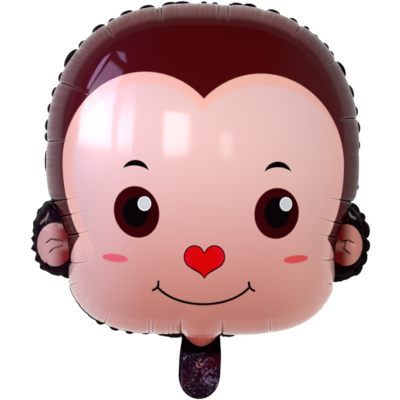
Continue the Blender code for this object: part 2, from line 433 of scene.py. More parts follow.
def pleat_marks(outline, run):
    """The pleats and the seeded wrinkles: place along the outline, length, depth and width of each."""
    table = np.array(PLEATS)
    feet = nearest_run(outline, run, seam_place(table[:, :2]))
    widths = np.full(len(table), PLEAT_WIDTH)
    pleats = np.stack([feet, table[:, 2] * UNIT, table[:, 3] / MILLIMETRES, widths], axis=1)
    place = rng.uniform(0.0, run[-1], WRINKLES)
    low = np.clip(-at_run(outline, run, place)[:, 1] / (HEAD_HEIGHT / 2), 0.0, 1.0)
    depth = rng.uniform(*WRINKLE_DEPTH, WRINKLES) * (DEPTH_GAIN[0] + DEPTH_GAIN[1] * low)
    length = rng.uniform(*WRINKLE_LENGTH, WRINKLES) * (LENGTH_GAIN[0] + LENGTH_GAIN[1] * low)
    width = rng.uniform(*WRINKLE_WIDTH, WRINKLES) * PLEAT_WIDTH
    return pleats, np.stack([place, length, depth, width], axis=1)


def crowded_places(length, feet):
    """Places of the columns along a closed curve, which stand closer together at the pleats' feet."""
    fine = np.linspace(0.0, length, CURVE_SAMPLES)
    density = np.ones_like(fine)
    for foot in feet:
        density += CROWDING * np.exp(-(wrapped(fine - foot, length) / CROWDING_WIDTH) ** 2)
    share = np.concatenate([[0.0], np.cumsum((density[1:] + density[:-1]) / 2)])
    return np.interp(np.linspace(0.0, share[-1], COLUMNS, endpoint=False), share, fine)


def smooth_film(shares, angles, side):
    """One smooth film of the head as a grid of points, rows by share of the radius and columns by angle.

    Near the rim each column turns to meet the seam at a right angle, so that the pleats that follow it do
    too. The turn is the lean times its strength, the share's root and what the share leaves of 1.
    """
    shares = shares[:, None]
    angle = angles - LEAN_STRENGTH * lean_at(angles) * (1 - shares) * np.sqrt(shares)
    reach = film_reach(shares, angle)
    x = HEAD_CENTRE[0] + reach * np.cos(angle)
    y = HEAD_CENTRE[1] + reach * np.sin(angle)
    z = SEAM_HEIGHT + side * HEAD_DEPTH / 2 * film_profile(shares)
    return np.stack([x, y, np.broadcast_to(z, x.shape)], axis=2)


def rim_distance(grid):
    """Length in plan from each point of a film out to the seam, along its column."""
    steps = np.linalg.norm(np.diff(grid[..., :2], axis=0), axis=2)
    return np.concatenate([np.cumsum(steps[::-1], axis=0)[::-1], np.zeros((1, grid.shape[1]))])


def pleat_depths(from_rim, places, length, pleats, wrinkles):
    """How far the pleats draw each point of a film in, along its normal, and how much it lies in a crease.

    Across a pleat the depth falls off as a cusp, with a wide shallow pull around the larger ones. Inwards
    from the seam, in plan, it fades to the pleat's end. The crease is a bell curve across the pleat, and
    one below zero on each side of it marks the ridges that catch the light.
    """
    depth = np.zeros_like(from_rim)
    crease = np.zeros_like(from_rim)
    for foot, reach, deep, width in np.concatenate([pleats, wrinkles]):
        gap = np.abs(wrapped(places - foot, length))[None, :]
        fade = np.clip(1 - from_rim / reach, 0.0, 1.0)
        depth += deep * np.exp(-gap / width) * fade ** PLEAT_FADE
        dark = np.exp(-(gap / CREASE_WIDTH) ** 2)
        light = np.exp(-((gap - RIDGE_OFFSET) / CREASE_WIDTH) ** 2)
        crease += min(deep / FULL_CREASE_DEPTH, 1.0) * (dark - light) * fade ** CREASE_FADE
    for foot, reach, deep, _ in pleats:
        gap = wrapped(places - foot, length)[None, :]
        fade = np.clip(1 - from_rim / reach, 0.0, 1.0)
        depth += PULL_SHARE * deep * np.exp(-(gap / PULL_WIDTH) ** 2) * fade ** PULL_FADE
    return depth, np.clip(crease, -1.0, 1.0)


def loft_mesh(name, loops, ends, caps):
    """A smooth mesh: quads between neighbouring loops of points, further end points, and the end faces."""
    rows, around = loops.shape[:2]
    here = np.arange(around)
    after = np.roll(here, -1)
    row = np.arange(rows - 1)[:, None] * around
    quads = np.stack([row + here, row + around + here, row + around + after, row + after], axis=2)
    mesh = bpy.data.meshes.new(name)
    mesh.from_pydata(loops.reshape(-1, 3).tolist() + ends, [], quads.reshape(-1, 4).tolist() + caps)
    mesh.shade_smooth()
    return mesh


def shell_mesh(name, rings, ends):
    """A closed mesh of rings between two end points, with a fan of triangles at each."""
    rows, around = rings.shape[:2]
    here = np.arange(around)
    after = np.roll(here, -1)
    top, last = rows * around, (rows - 1) * around
    fans = [np.stack([np.full(around, top), here, after], axis=1),
            np.stack([np.full(around, top + 1), last + after, last + here], axis=1)]
    return loft_mesh(name, rings, ends.tolist(), np.concatenate(fans).tolist())


def tube_mesh(name, sections):
    """A closed mesh of one loop of points for each step along a strip, capped at both ends."""
    rows, around = sections.shape[:2]
    here = np.arange(around)
    return loft_mesh(name, sections, [], [here.tolist(), ((rows - 1) * around + here[::-1]).tolist()])


def joined(films):
    """Values of a front and a back film in one run of rings, with the seam's ring once."""
    front, back = films
    return np.concatenate([front, back[-2::-1]])


def lay_print(mesh, units):
    """Give each vertex its place on the print, as the UV map that the printed materials read."""
    layer = mesh.uv_layers.new(name="print")
    corners = np.zeros(len(mesh.loops), dtype=np.int32)
    mesh.loops.foreach_get("vertex_index", corners)
    layer.data.foreach_set("uv", units[corners].astype(np.float32).ravel())


def mark(mesh, name, kind, field, values):
    """Give a shell's vertices their values of an attribute, and its two end points zeros."""
    values = values.reshape(values.shape[0] * values.shape[1], -1)
    values = np.concatenate([values, np.zeros((2, values.shape[1]))])
    layer = mesh.attributes.new(name, kind, "POINT")
    layer.data.foreach_set(field, values.astype(np.float32).ravel())


def mark_rim(mesh, places, length, distances):
    """Give each vertex of the head a place by the seam, as the attribute that the ribs are read at.

    The length along the seam is wound up to a circle in x and y, so that it closes; z is the distance
    from the seam, much shortened, so that noise that is read there is long and narrow.
    """
    turn = 2 * math.pi * places / length
    radius = length / (2 * math.pi)
    inward = joined(distances)[..., None] * RIB_STRETCH
    ring = np.stack([radius * np.cos(turn), radius * np.sin(turn)], axis=1)
    spots = np.concatenate([np.broadcast_to(ring, inward.shape[:2] + (2,)), inward], axis=2)
    mark(mesh, "rim", "FLOAT_VECTOR", "vector", spots)


def film_shell(name, films, prints, creases, ends):
    """A front and a back film as one closed shell, with its places on the print and its creases."""
    mesh = shell_mesh(name, joined(films), ends)
    lay_print(mesh, np.concatenate([joined(prints).reshape(-1, 2), print_units(ends)]))
    mark(mesh, "crease", "FLOAT", "value", joined(creases))
    return mesh


def add_object(name, data):
    """A new object in the scene."""
    added = bpy.data.objects.new(name, data)
    bpy.context.scene.collection.objects.link(added)
    return added


def add_piece(mesh, materials):
    """One piece of the balloon: it rides on the part and stands for its solid."""
    piece = add_object(mesh.name, mesh)
    for material in materials:
        mesh.materials.append(material)
    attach(piece, "root")
    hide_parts("foil_balloon")


class Wire:
    """A socket of a material's node tree. Each operation between wires and numbers adds a Math node."""

    def __init__(self, socket):
        self.socket = socket

    def node(self, kind, settings, values, output=0):
        """A further node of the tree: its settings come first, then the values or links of its sockets."""
        added = self.socket.id_data.nodes.new(kind)
        for name, value in settings.items():
            setattr(added, name, value)
        feed(added, values)
        return Wire(added.outputs[output])

    def math(self, operation, *values, clamp=False):
        """One Math node on the given values."""
        settings = {"operation": operation, "use_clamp": clamp}
        return self.node("ShaderNodeMath", settings, dict(enumerate(values)))

    def __add__(self, other):
        return self.math("ADD", self, other)

    __radd__ = __add__

    def __sub__(self, other):
        return self.math("SUBTRACT", self, other)

    def __rsub__(self, other):
        return self.math("SUBTRACT", other, self)

    def __mul__(self, other):
        return self.math("MULTIPLY", self, other)

    __rmul__ = __mul__

    def __truediv__(self, other):
        return self.math("DIVIDE", self, other)

    def __rtruediv__(self, other):
        return self.math("DIVIDE", other, self)

    def __pow__(self, other):
        return self.math("POWER", self, other)

    def __rpow__(self, other):
        return self.math("POWER", other, self)

    def __abs__(self):
        return self.math("ABSOLUTE", self)

    def root(self):
        return self.math("SQRT", self)

    def least(self, other):
        return self.math("MINIMUM", self, other)

    def most(self, other):
        return self.math("MAXIMUM", self, other)

    def clamped(self):
        return self.math("ADD", self, 0.0, clamp=True)

    def eased(self, start, end):
        """0 before start and 1 after end, with a smooth rise between them."""
        values = {0: self, 1: start, 2: end, 3: 0.0, 4: 1.0}
        return self.node("ShaderNodeMapRange", {"interpolation_type": "SMOOTHSTEP"}, values)

    def tint(self, under, over):
        """The colour under, and the colour over where this mask is 1."""
        return self.node("ShaderNodeMix", {"data_type": "RGBA"}, {0: self, 6: under, 7: over}, output=2)

    def shaded(self, colour, shade):
        """The colour, multiplied by the shade where this mask is 1."""
        settings = {"data_type": "RGBA", "blend_type": "MULTIPLY"}
        return self.node("ShaderNodeMix", settings, {0: self, 6: colour, 7: shade}, output=2)

    def part(self, axis):
        """The x, y or z of this place."""
        return self.node("ShaderNodeSeparateXYZ", {}, {0: self}, output=axis)

    def noise(self, scale, detail, output=0):
        """Noise at this place, or its colour."""
        values = {"Vector": self, "Scale": scale, "Detail": detail}
        return self.node("ShaderNodeTexNoise", {}, values, output)

    def bump(self, distance):
        """The normal of a surface that this height raises."""
        return self.node("ShaderNodeBump", {}, {"Height": self, "Distance": distance, "Strength": 1.0})


def feed(node, values):
    """Set or link a node's sockets."""
    for place, value in values.items():
        if isinstance(value, Wire):
            value.socket.id_data.links.new(value.socket, node.inputs[place])
        else:
            node.inputs[place].default_value = value


def srgb(red, green, blue):
    """A colour given by display values of 0 to 255, as the renderer's linear values."""
    shares = np.array([red, green, blue]) / 255
    linear = np.where(shares <= 0.04045, shares / 12.92, ((shares + 0.055) / 1.055) ** 2.4)
    return (*linear.tolist(), 1.0)


# Print colours, and the painted light and shade that lie over the print
HAIR = srgb(80, 6, 9)
HAIR_LEFT = srgb(84, 14, 32)
HAIR_RIGHT = srgb(80, 26, 30)
# Painted sheen of the hair near its rim, where the film mirrors the bright floor
HAIR_RIM_SHEEN = srgb(114, 34, 34)
HAIR_RIM_SHEEN_LEFT = srgb(104, 38, 62)
# Painted shade of the hair beside the ears
HAIR_LOW_SHADE = srgb(78, 6, 14)
HAIR_SHADE = srgb(20, 4, 8)
# The paler left salmon and face colours are painted light from the upper left; the face's low and corner
# colours are painted shade on the chin's lower slope
SALMON = srgb(248, 188, 176)
SALMON_LEFT_LIT = srgb(252, 196, 196)
FACE = srgb(239, 198, 195)
FACE_LEFT_LIT = srgb(244, 206, 217)
FACE_RIGHT = srgb(252, 200, 190)
FACE_EDGE = srgb(150, 42, 40)
FACE_CHIN_SHADE = srgb(213, 136, 124)
FACE_CORNER_SHADE = srgb(228, 178, 182)
FACE_RIGHT_CORNER_SHADE = srgb(230, 166, 150)
# Painted shade on the neck below the chin, and painted highlights on its curled corners
NECK_SHADE = srgb(202, 92, 80)
NECK_CURL_HIGHLIGHT = srgb(244, 222, 216)
INK = srgb(8, 3, 6)
IRIS = srgb(50, 2, 5)
IRIS_LEFT = srgb(60, 3, 10)
LIGHT = srgb(208, 212, 220)
WHITE = srgb(250, 250, 252)
HEART_RED = srgb(224, 2, 3)
HEART_SIDE = srgb(226, 4, 34)
HEART_EDGE = srgb(84, 2, 6)
BLUSH_LEFT = srgb(236, 104, 124)
BLUSH_RIGHT = srgb(232, 84, 86)
OUTLINE = srgb(252, 222, 218)
EAR_SHADE = srgb(84, 22, 26)
# Each ear's deep red is painted shade, where its pink film mirrors the head's dark side
LEFT_EAR_BLACK = srgb(28, 8, 24)
LEFT_EAR_PINK = srgb(206, 160, 166)
LEFT_EAR_DEEP_SHADE = srgb(136, 34, 40)
RIGHT_EAR_BLACK = srgb(16, 3, 7)
RIGHT_EAR_PINK = srgb(202, 136, 124)
RIGHT_EAR_DEEP_SHADE = srgb(104, 14, 12)
# Tail: black that is painted shadow at its top and the colour of its left margin; lilac and rose that are
# painted glints on its facets
TAIL_SHADOW_AND_MARGIN_BLACK = srgb(7, 2, 5)
TAIL_PURPLE = srgb(28, 7, 27)
TAIL_WINE = srgb(54, 5, 25)
TAIL_LILAC_GLINT = srgb(118, 96, 130)
TAIL_ROSE_GLINT = srgb(168, 104, 120)
SEAM_DARK = srgb(5, 2, 4)
SEAM_LIGHT = srgb(26, 14, 20)
# Painted shade in the creases, and painted highlight on the ridges beside them
CREASE_SHADE = srgb(190, 104, 96)
RIDGE_HIGHLIGHT = srgb(255, 232, 230)

# Film under its bright clear coat
FOIL = {
    "Roughness": 0.34,
    "Metallic": 0.04,
    "Specular IOR Level": 0.0,
    "Coat Weight": 1.0,
    "Coat Roughness": 0.06,
    "Coat IOR": 1.33,
}
CREASE_DULLNESS = 0.8

# The printed face's edge: lobes over the eyes, of its pale middle too, with centre, half width and height
# above and below the centre; half width of the strip that runs down from them; and the cheeks
EDGE = 0.30
LEAST_SLOPE = 1e-6
SKIN_OVERLAP = 0.25
FACE_LOBES = (((144.9, 161), 82.4, 89.3, 125), ((261, 165), 83, 91.4, 125))
FACE_HALF_WIDTH = 120
PALE_LOBES = (((146.7, 161), 73, 78, 125), ((263, 165), 81.5, 80, 125))
PALE_HALF_WIDTH = 110
LOBES_MIDDLE = 203.7
LOBES_LEVEL = 165
CHEEK_LEVEL = 265
CHEEK_CENTRES = ((110, CHEEK_LEVEL), (295, CHEEK_LEVEL))
CHEEK_HALVES = (40, 45)

# Eyes: centre, half sizes and tilt, then centre and half sizes of the pupil and of the bright spot
EYES = (
    ((136.6, 211.9), (22.7, 26.4), -17, (135.8, 212.2), (13.4, 15.4), (144.4, 203.6), (6.6, 7.1)),
    ((276.6, 213.4), (22.4, 25.8), 9, (277, 212.8), (12.9, 15.7), (285.9, 204.1), (6.0, 6.9)),
)
EYE_RING = 0.6
PUPIL_EDGE = 1.6
SPOT_RING = 1.0
OUTLINE_WIDTH = 0.8
OUTLINE_STRENGTH = 0.22

# Blushes: centre, half sizes, tilt and colour. Brows: left and right end and the rise between them
BLUSHES = (((115.2, 258), (12.8, 4.1), 7, BLUSH_LEFT), ((295.8, 259.2), (12.4, 3.9), -7, BLUSH_RIGHT))
BLUSH_EDGE = 0.7
BROWS = (((122.8, 168.4), (148.8, 170.6), 9.8), ((264.4, 172), (291.4, 172), 10.6))
BROW_THICKNESS = 6.1

# Heart nose: centre, half sizes of a lobe, its distance from the middle and the tip's height
NOSE = ((204.4, 257), (11, 12.1), 10, 279.4)
HEART_CUBIC = (1.558, 0.1135, 0.00423)
HEART_STEEPNESS = 1.4
HEART_RIM = 1.7
HEART_SIDES = (9, 19)

# Mouth: the oval that it is part of, its reach to the sides, its top, and the strokes of its two corners
SMILE = ((203.5, 272), (52, 32.2))
SMILE_REACH = 46
SMILE_TOP = 280
MOUTH_HALF_WIDTH = 1.3
MOUTH_CORNERS = (
    ((158.4, 281.6), (158.2, 285.6), (156.6, 288.2), (153.0, 290.2)),
    ((248.9, 282.6), (249.4, 286.6), (251.4, 289.2), (254.2, 290.8)),
)

# Where the print, and the painted light and shade over it, change from one colour to the next, in print
# units, or in metres from the seam's level
SKIN_TO_LEFT = (215, 70)
SKIN_TO_RIGHT = (312, 345)
SKIN_TO_CHIN = (115, 340)
SKIN_MIDDLE = 204
SKIN_TO_CORNER = (50, 130)
CORNER_TO_RIGHT = (180, 230)
SKIN_TO_NECK = (333.6, 335.4)
# The neck's curled corners are strokes of painted highlight: start, end and half width; then the highlight's
# edge and strength
NECK_CURLS = (((184.2, 331), (187.2, 336), 1.0), ((220.6, 332), (215.8, 336.5), 0.8))
CURL_EDGE = 0.9
CURL_STRENGTH = 0.7
BAND_EDGE = 0.5
BAND_TO_LEFT = (215, 100)
BAND_END = (270, 238)
BAND_RISE = 40
BAND_RISE_TO_RIGHT = (190, 230)
HAIR_TO_LEFT = (190, 70)
HAIR_TO_RIGHT = (255, 335)
HAIR_TO_LOW = (188, 208)
# Spans of the hair's painted sheen near the rim and of its painted shade beside the ears
HAIR_RIM_SHEEN_LEVELS = (0.066, 0.050)
HAIR_RIM_SHEEN_END = (335, 255)
HAIR_RIM_SHEEN_TO_LEFT = (140, 60)
HAIR_SHADE_LEVELS = (0.048, 0.032)

# Fine ribs of the film beside the seam: a bump, and on the face a painted highlight
RIB_SCALE = 380.0
RIB_STRETCH = 0.12
RIB_NOISE = (0.42, 0.62)
RIB_LEVELS = (0.072, 0.050)
RIB_HIGHLIGHT = 0.18
RIB_DEPTH = 0.00022
RIBS_TO_RIGHT = (300, 335)
RIB_LOSS = 0.75
RIBS_TO_CHIN = (315, 285)

# How much duller the hair's film is to the right and where it is low, and how much more that gets
DULL_RIGHT = 0.36
DULL_LOW = 0.6
DULL_MORE = 0.25
DULL_MORE_FROM = (110, 150)

# Ears: centre, creases, scallops, whether these are sharp teeth, then the pink oval's centre and half
# sizes, where painted shade deepens it across, and the ear's colours
EARS = (
    ("left_ear", np.array([-0.1890, -0.092]), LEFT_EAR_FOLDS, LEFT_EAR_TEETH, True,
     ((55, 244.5), (17.7, 21.7), (48, 65), (LEFT_EAR_BLACK, LEFT_EAR_PINK, LEFT_EAR_DEEP_SHADE))),
    ("right_ear", np.array([0.1828, -0.093]), RIGHT_EAR_FOLDS, RIGHT_EAR_SCALLOPS, False,
     ((346, 245), (16.2, 20.8), (356, 341), (RIGHT_EAR_BLACK, RIGHT_EAR_PINK, RIGHT_EAR_DEEP_SHADE))),
)
# The painted shade is less along a band through the oval's middle: its offset below the centre, its heights
# and the share taken off
EAR_PALE_BELOW = 1
EAR_PALE_HEIGHTS = (7, 1)
EAR_PALE_SHARE = 0.35
EAR_COAT_ABOVE = (226, 212)
EAR_BLACK_COAT_SHARE = 0.4
EAR_COAT = 0.4
EAR_LEAST_COAT = 0.05

# Tail finish, in metres: where it is lit, outside the painted shadow at its top and its black left margin;
# its two patches of painted glints; and the streak of painted highlight at its left margin
TAIL_LIT_BELOW = (-0.1960, -0.2060)
TAIL_LIT_FROM_LEFT = (-0.0285, -0.0265)
TAIL_LIT_UNEVENNESS = 0.012
ROSE_GLINT_PATCH = ((-0.0010, -0.2225), (0.0070, 0.0090))
ROSE_FADE = (0.004, -0.003)
LILAC_GLINT_PATCH = ((0.0130, -0.2410), (0.0130, 0.0130))
LILAC_FADE = (0.004, -0.004)
STREAK_PLACE = -0.0252
STREAK_WIDTH = (0.0016, 0.0002)
STREAK_BELOW = (-0.212, -0.222)
CELL_SCALE = 400.0
CELL_WARP = 0.008
CELL_CHANCE = (0.52, 0.98)
CELLS_ELSEWHERE = 0.12

# Surroundings
FLOOR_HALF = 6.0
FLOOR_GREY = srgb(110, 110, 110)
FLOOR_GLOW = srgb(246, 246, 246)
FLOOR_FAR_GLOW = srgb(100, 84, 94)
FLOOR_GLOW_REACH = (0.62, 1.05)
FILL_SIZE = 3.2
FILL_TILT = math.radians(8)
FILL_BEARING = math.radians(165)
FILL_BRIGHTNESS = 1.65
FILL_COLOUR = (1.0, 0.985, 0.98)
PANE_DARK = srgb(0, 0, 0)
PANE_LILAC = srgb(234, 190, 255)
PANE_WHITE = srgb(236, 248, 255)
ROOM_GREY = (0.47, 0.46, 0.46, 1.0)
ROOM_WHITE = (0.95, 0.95, 0.95, 1.0)
ROOM_DIM = (0.03, 0.02, 0.03, 1.0)


def ellipse(x, y, centre, halves, tilt=0):
    """Gap from an ellipse's line, negative inside: its implicit value over twice the length of its slope."""
    across, down = x - centre[0], y - centre[1]
    if tilt:
        across, down = turned(across, down, math.radians(tilt))
    value = (across / halves[0]) ** 2 + (down / halves[1]) ** 2
    slope = ((across / halves[0] ** 2) ** 2 + (down / halves[1] ** 2) ** 2).root()
    return (value - 1) / (slope * 2 + LEAST_SLOPE)


def uneven_ellipse(x, y, centre, half_width, above, below):
    """Gap from an oval with different heights above and below its centre."""
    upper = ellipse(x, y, centre, (half_width, above))
    lower = ellipse(x, y, centre, (half_width, below))
    return upper + (lower - upper) * y.math("GREATER_THAN", y, centre[1])


def stroke(x, y, start, end, half_width):
    """Gap from a round-ended stroke: the distance to the nearest point of its line, less half its width."""
    run = (end[0] - start[0], end[1] - start[1])
    square = run[0] ** 2 + run[1] ** 2
    along = (((x - start[0]) * run[0] + (y - start[1]) * run[1]) / square).clamped()
    across, down = x - start[0] - along * run[0], y - start[1] - along * run[1]
    return (across * across + down * down).root() - half_width


def filled(gap, edge=EDGE):
    """Mask that is 1 inside a line, fading over a narrow edge."""
    return gap.eased(edge, -edge)


def outlined(colour, gap):
    """The colour, with a faint pale line around a printed shape."""
    return (filled(gap - OUTLINE_WIDTH) * OUTLINE_STRENGTH).tint(colour, OUTLINE)


def brow(x, y, left, right, rise):
    """Crescent through two ends: inside a small circle and outside a larger one below it."""
    chord = math.dist(left, right)
    middle = ((left[0] + right[0]) / 2, (left[1] + right[1]) / 2)
    down = ((left[1] - right[1]) / chord, (right[0] - left[0]) / chord)

    def arc(height):
        radius = (chord ** 2 / 4 + height ** 2) / (2 * height)
        drop = radius - height
        return ellipse(x, y, (middle[0] + down[0] * drop, middle[1] + down[1] * drop), (radius, radius))

    return arc(rise).most(0 - arc(rise - BROW_THICKNESS))


def heart(x, y, centre, lobe, spread, tip):
    """Two oval lobes over a wedge whose sides run down to the tip, and an oval that fills their middle.

    Below the lobes the side's height over the tip is a cubic of the distance from the middle: steep at the
    tip, flatter, and steep again where it meets the lobe.
    """
    across = abs(x - centre[0])
    lobes = ellipse(across, y, (spread, centre[1]), lobe)
    first, second, third = HEART_CUBIC
    side = y - tip + across * (first - across * (second - across * third))
    wedge = (side / HEART_STEEPNESS).most(across - spread - lobe[0]).most(centre[1] - 1 - y)
    middle = ellipse(across, y, (0, centre[1] + 1), (spread, lobe[1] / 2))
    return lobes.least(wedge).least(middle)


def eye(colour, x, y, centre, halves, tilt, pupil, pupil_halves, light, light_halves):
    """An eye printed over the colour: reddish ring, iris, soft pupil and a bright spot with a white edge."""
    oval = ellipse(x, y, centre, halves, tilt)
    spot = ellipse(x, y, light, light_halves)
    iris = x.eased(centre[0] - halves[0], centre[0] + halves[0]).tint(IRIS_LEFT, IRIS)
    colour = filled(oval).tint(outlined(colour, oval), FACE_EDGE)
    colour = filled(oval + EYE_RING).tint(colour, iris)
    colour = filled(ellipse(x, y, pupil, pupil_halves), PUPIL_EDGE).tint(colour, INK)
    colour = filled(spot).tint(colour, WHITE)
    return filled(spot + SPOT_RING).tint(colour, LIGHT)


def mouth(x, y):
    """Gap from the mouth: the low part of an oval's line, with a bent stroke at each of its corners."""
    line = abs(ellipse(x, y, *SMILE)) - MOUTH_HALF_WIDTH
    line = line.most(abs(x - SMILE[0][0]) - SMILE_REACH).most(SMILE_TOP - y)
    for corner in MOUTH_CORNERS:
        for start, end in zip(corner, corner[1:]):
            line = line.least(stroke(x, y, start, end, MOUTH_HALF_WIDTH))
    return line


def lobes_gap(x, y, lobes, half_width):
    """Gap from two lobes over the eyes and from the wide strip that runs down from their level."""
    left, right = (uneven_ellipse(x, y, *lobe) for lobe in lobes)
    strip = (abs(x - LOBES_MIDDLE) - half_width).most(LOBES_LEVEL - y)
    return left.least(right).least(strip)


def face_gap(x, y):
    """Gap from the printed face's edge: two lobes over the eyes, two cheeks, and all that lies lower."""
    gap = lobes_gap(x, y, FACE_LOBES, FACE_HALF_WIDTH)
    for centre in CHEEK_CENTRES:
        gap = gap.least(ellipse(x, y, centre, CHEEK_HALVES))
    return gap.least(CHEEK_LEVEL - y)


def new_finish(name):
    """A material with its shader and the object's own coordinates."""
    material = bpy.data.materials.new(name)
    material.use_nodes = True
    tree = material.node_tree
    place = Wire(tree.nodes.new("ShaderNodeTexCoord").outputs["Object"])
    return material, tree.nodes["Principled BSDF"], place


def mapped(place, name):
    """The x and y of a UV map of the mesh."""
    spot = place.node("ShaderNodeUVMap", {"uv_map": name}, {})
    return spot.part(0), spot.part(1)


def film_bump(place, scale, distance):
    """Faint unevenness of a taut film."""
    return place.noise(scale, 3.0).bump(distance)


def seam_level(place):
    """Height above or below the seam."""
    return abs(place.part(2) - SEAM_HEIGHT)


def rim_ribs(place):
    """Mask of the fine ribs that run in from the head's seam: noise at the rim attribute, near the seam."""
    spot = place.node("ShaderNodeAttribute", {"attribute_name": "rim"}, {}, output=1)
    return spot.noise(RIB_SCALE, 1.0).eased(*RIB_NOISE) * seam_level(place).eased(*RIB_LEVELS)


def film_finish(place, colour, coat, normal, crease_shading=1.0, ridge_highlight=0.1, shade=CREASE_SHADE):
    """Printed film in a colour: darker in its creases, as painted shade, and duller there; paler on the
    ridges beside them, as painted highlights.
    """
    crease = place.node("ShaderNodeAttribute", {"attribute_name": "crease"}, {}, output=2)
    dark = crease.clamped()
    light = (0 - crease).clamped()
    return FOIL | {
        "Base Color": (light * ridge_highlight).tint((dark * crease_shading).shaded(colour, shade), RIDGE_HIGHLIGHT),
        "Coat Weight": (1 - dark * CREASE_DULLNESS) * coat,
        "Normal": normal,
    }


def skin_colour(x, y, face):
    """The face's pink: paler and cooler to the left, as painted light from the upper left, and deeper towards
    the chin's middle, as painted shade that is lighter in its lower corners.

    A salmon band lies along its top and left side, outside the lobes of its pale middle; it is paler to the
    left, as painted light. Below the chin's line the neck is painted shade, with painted highlights where
    its corners curl.
    """
    # Paler and cooler to the left as painted light, and deeper towards the chin as painted shade
    skin = x.eased(*SKIN_TO_LEFT).tint(x.eased(*SKIN_TO_RIGHT).tint(FACE, FACE_RIGHT), FACE_LEFT_LIT)
    corner = x.eased(*CORNER_TO_RIGHT).tint(FACE_CORNER_SHADE, FACE_RIGHT_CORNER_SHADE)
    low = abs(x - SKIN_MIDDLE).eased(*SKIN_TO_CORNER).tint(FACE_CHIN_SHADE, corner)
    skin = y.eased(*SKIN_TO_CHIN).tint(skin, low)
    # Painted shade below the chin's line, and painted highlights on the neck's curled corners
    skin = y.eased(*SKIN_TO_NECK).tint(skin, NECK_SHADE)
    left_curl, right_curl = (stroke(x, y, *curl) for curl in NECK_CURLS)
    skin = (filled(left_curl.least(right_curl), CURL_EDGE) * CURL_STRENGTH).tint(skin, NECK_CURL_HIGHLIGHT)
    # The salmon band is print; its paler left is painted light
    high = (y + x.eased(*BAND_RISE_TO_RIGHT) * BAND_RISE).eased(*BAND_END)
    outside = lobes_gap(x, y, PALE_LOBES, PALE_HALF_WIDTH).eased(-BAND_EDGE, BAND_EDGE)
    return (filled(face) * outside * high).tint(skin, x.eased(*BAND_TO_LEFT).tint(SALMON, SALMON_LEFT_LIT))


def drawn_face(x, y, colour):
    """The blushes, eyes, brows, heart nose and mouth, printed over the skin."""
    for centre, halves, tilt, blush in BLUSHES:
        colour = filled(ellipse(x, y, centre, halves, tilt), BLUSH_EDGE).tint(colour, blush)
    for sizes in EYES:
        colour = eye(colour, x, y, *sizes)
    for left, right, rise in BROWS:
        shape = brow(x, y, left, right, rise)
        colour = filled(shape).tint(outlined(colour, shape), INK)
    nose = heart(x, y, *NOSE)
    red = abs(x - NOSE[0][0]).eased(*HEART_SIDES).tint(HEART_RED, HEART_SIDE)
    colour = filled(nose).tint(outlined(colour, nose), HEART_EDGE)
    colour = filled(nose + HEART_RIM).tint(colour, red)
    return filled(mouth(x, y)).tint(colour, INK)


def hair_colour(x, level, right, low):
    """The hair: cooler to the left, greyer to the right, paler near the rim as a painted sheen where the film
    mirrors the bright floor, and darker beside the ears as painted shade.
    """
    hair = x.eased(*HAIR_TO_LEFT).tint(right.tint(HAIR, HAIR_RIGHT), HAIR_LEFT)
    # Painted sheen near the rim
    rim = level.eased(*HAIR_RIM_SHEEN_LEVELS) * x.eased(*HAIR_RIM_SHEEN_END)
    hair = rim.tint(hair, x.eased(*HAIR_RIM_SHEEN_TO_LEFT).tint(HAIR_RIM_SHEEN, HAIR_RIM_SHEEN_LEFT))
    # Painted shade beside the ears
    return low.tint(hair, level.eased(*HAIR_SHADE_LEVELS).tint(HAIR_LOW_SHADE, HAIR_SHADE))


def printed_face():
    """Front of the head: the whole face as print, with painted light and shade, over bright film, which is
    duller over the hair.
    """
    material, shader, place = new_finish("printed_face")
    x, y = mapped(place, "print")
    face = face_gap(x, y)
    skin = filled(face + SKIN_OVERLAP)
    ribs = rim_ribs(place) * (1 - x.eased(*RIBS_TO_RIGHT) * RIB_LOSS)
    colour = drawn_face(x, y, skin_colour(x, y, face))
    # Pale ribs near the seam: painted highlight
    colour = (ribs * y.eased(*RIBS_TO_CHIN) * RIB_HIGHLIGHT).tint(colour, RIDGE_HIGHLIGHT)
    right, low = x.eased(*HAIR_TO_RIGHT), y.eased(*HAIR_TO_LOW)
    hair = hair_colour(x, seam_level(place), right, low)
    hair = filled(face - SKIN_OVERLAP).tint(hair, FACE_EDGE)
    dull = right * (y.eased(*DULL_MORE_FROM) * DULL_MORE + DULL_RIGHT)
    dull = dull.most(low * (right * DULL_MORE + DULL_LOW)) + ribs * DULL_MORE
    coat = 1 - (1 - skin) * dull
    # How much painted crease shade and ridge highlight the skin and the hair take
    crease_shading, ridge_highlight = 1 - skin * 0.25, skin * 0.5 + 0.05
    feed(shader, film_finish(place, skin.tint(hair, colour), coat, ribs.bump(RIB_DEPTH), crease_shading, ridge_highlight))
    return material


def back_film():
    """Back of the head: one plain dark colour of the hair."""
    material, shader, place = new_finish("back_film")
    colour = place.noise(6.0, 2.0).eased(0.3, 0.7).tint(HAIR, HAIR_LEFT)
    feed(shader, film_finish(place, colour, 0.9 - rim_ribs(place) * 0.3, film_bump(place, 90.0, 0.00004)))
    return material


def seam_finish():
    """The welded edge: two dark films pressed together, with the weld's fine cross lines."""
    material, shader, place = new_finish("seam_edge")
    feed(shader, {
        "Base Color": place.noise(260.0, 2.0).eased(0.2, 0.8).tint(SEAM_DARK, SEAM_LIGHT),
        "Roughness": 0.45,
        "Metallic": 0.0,
        "Specular IOR Level": 0.06,
        "Normal": film_bump(place, 700.0, 0.0001),
    })
    return material


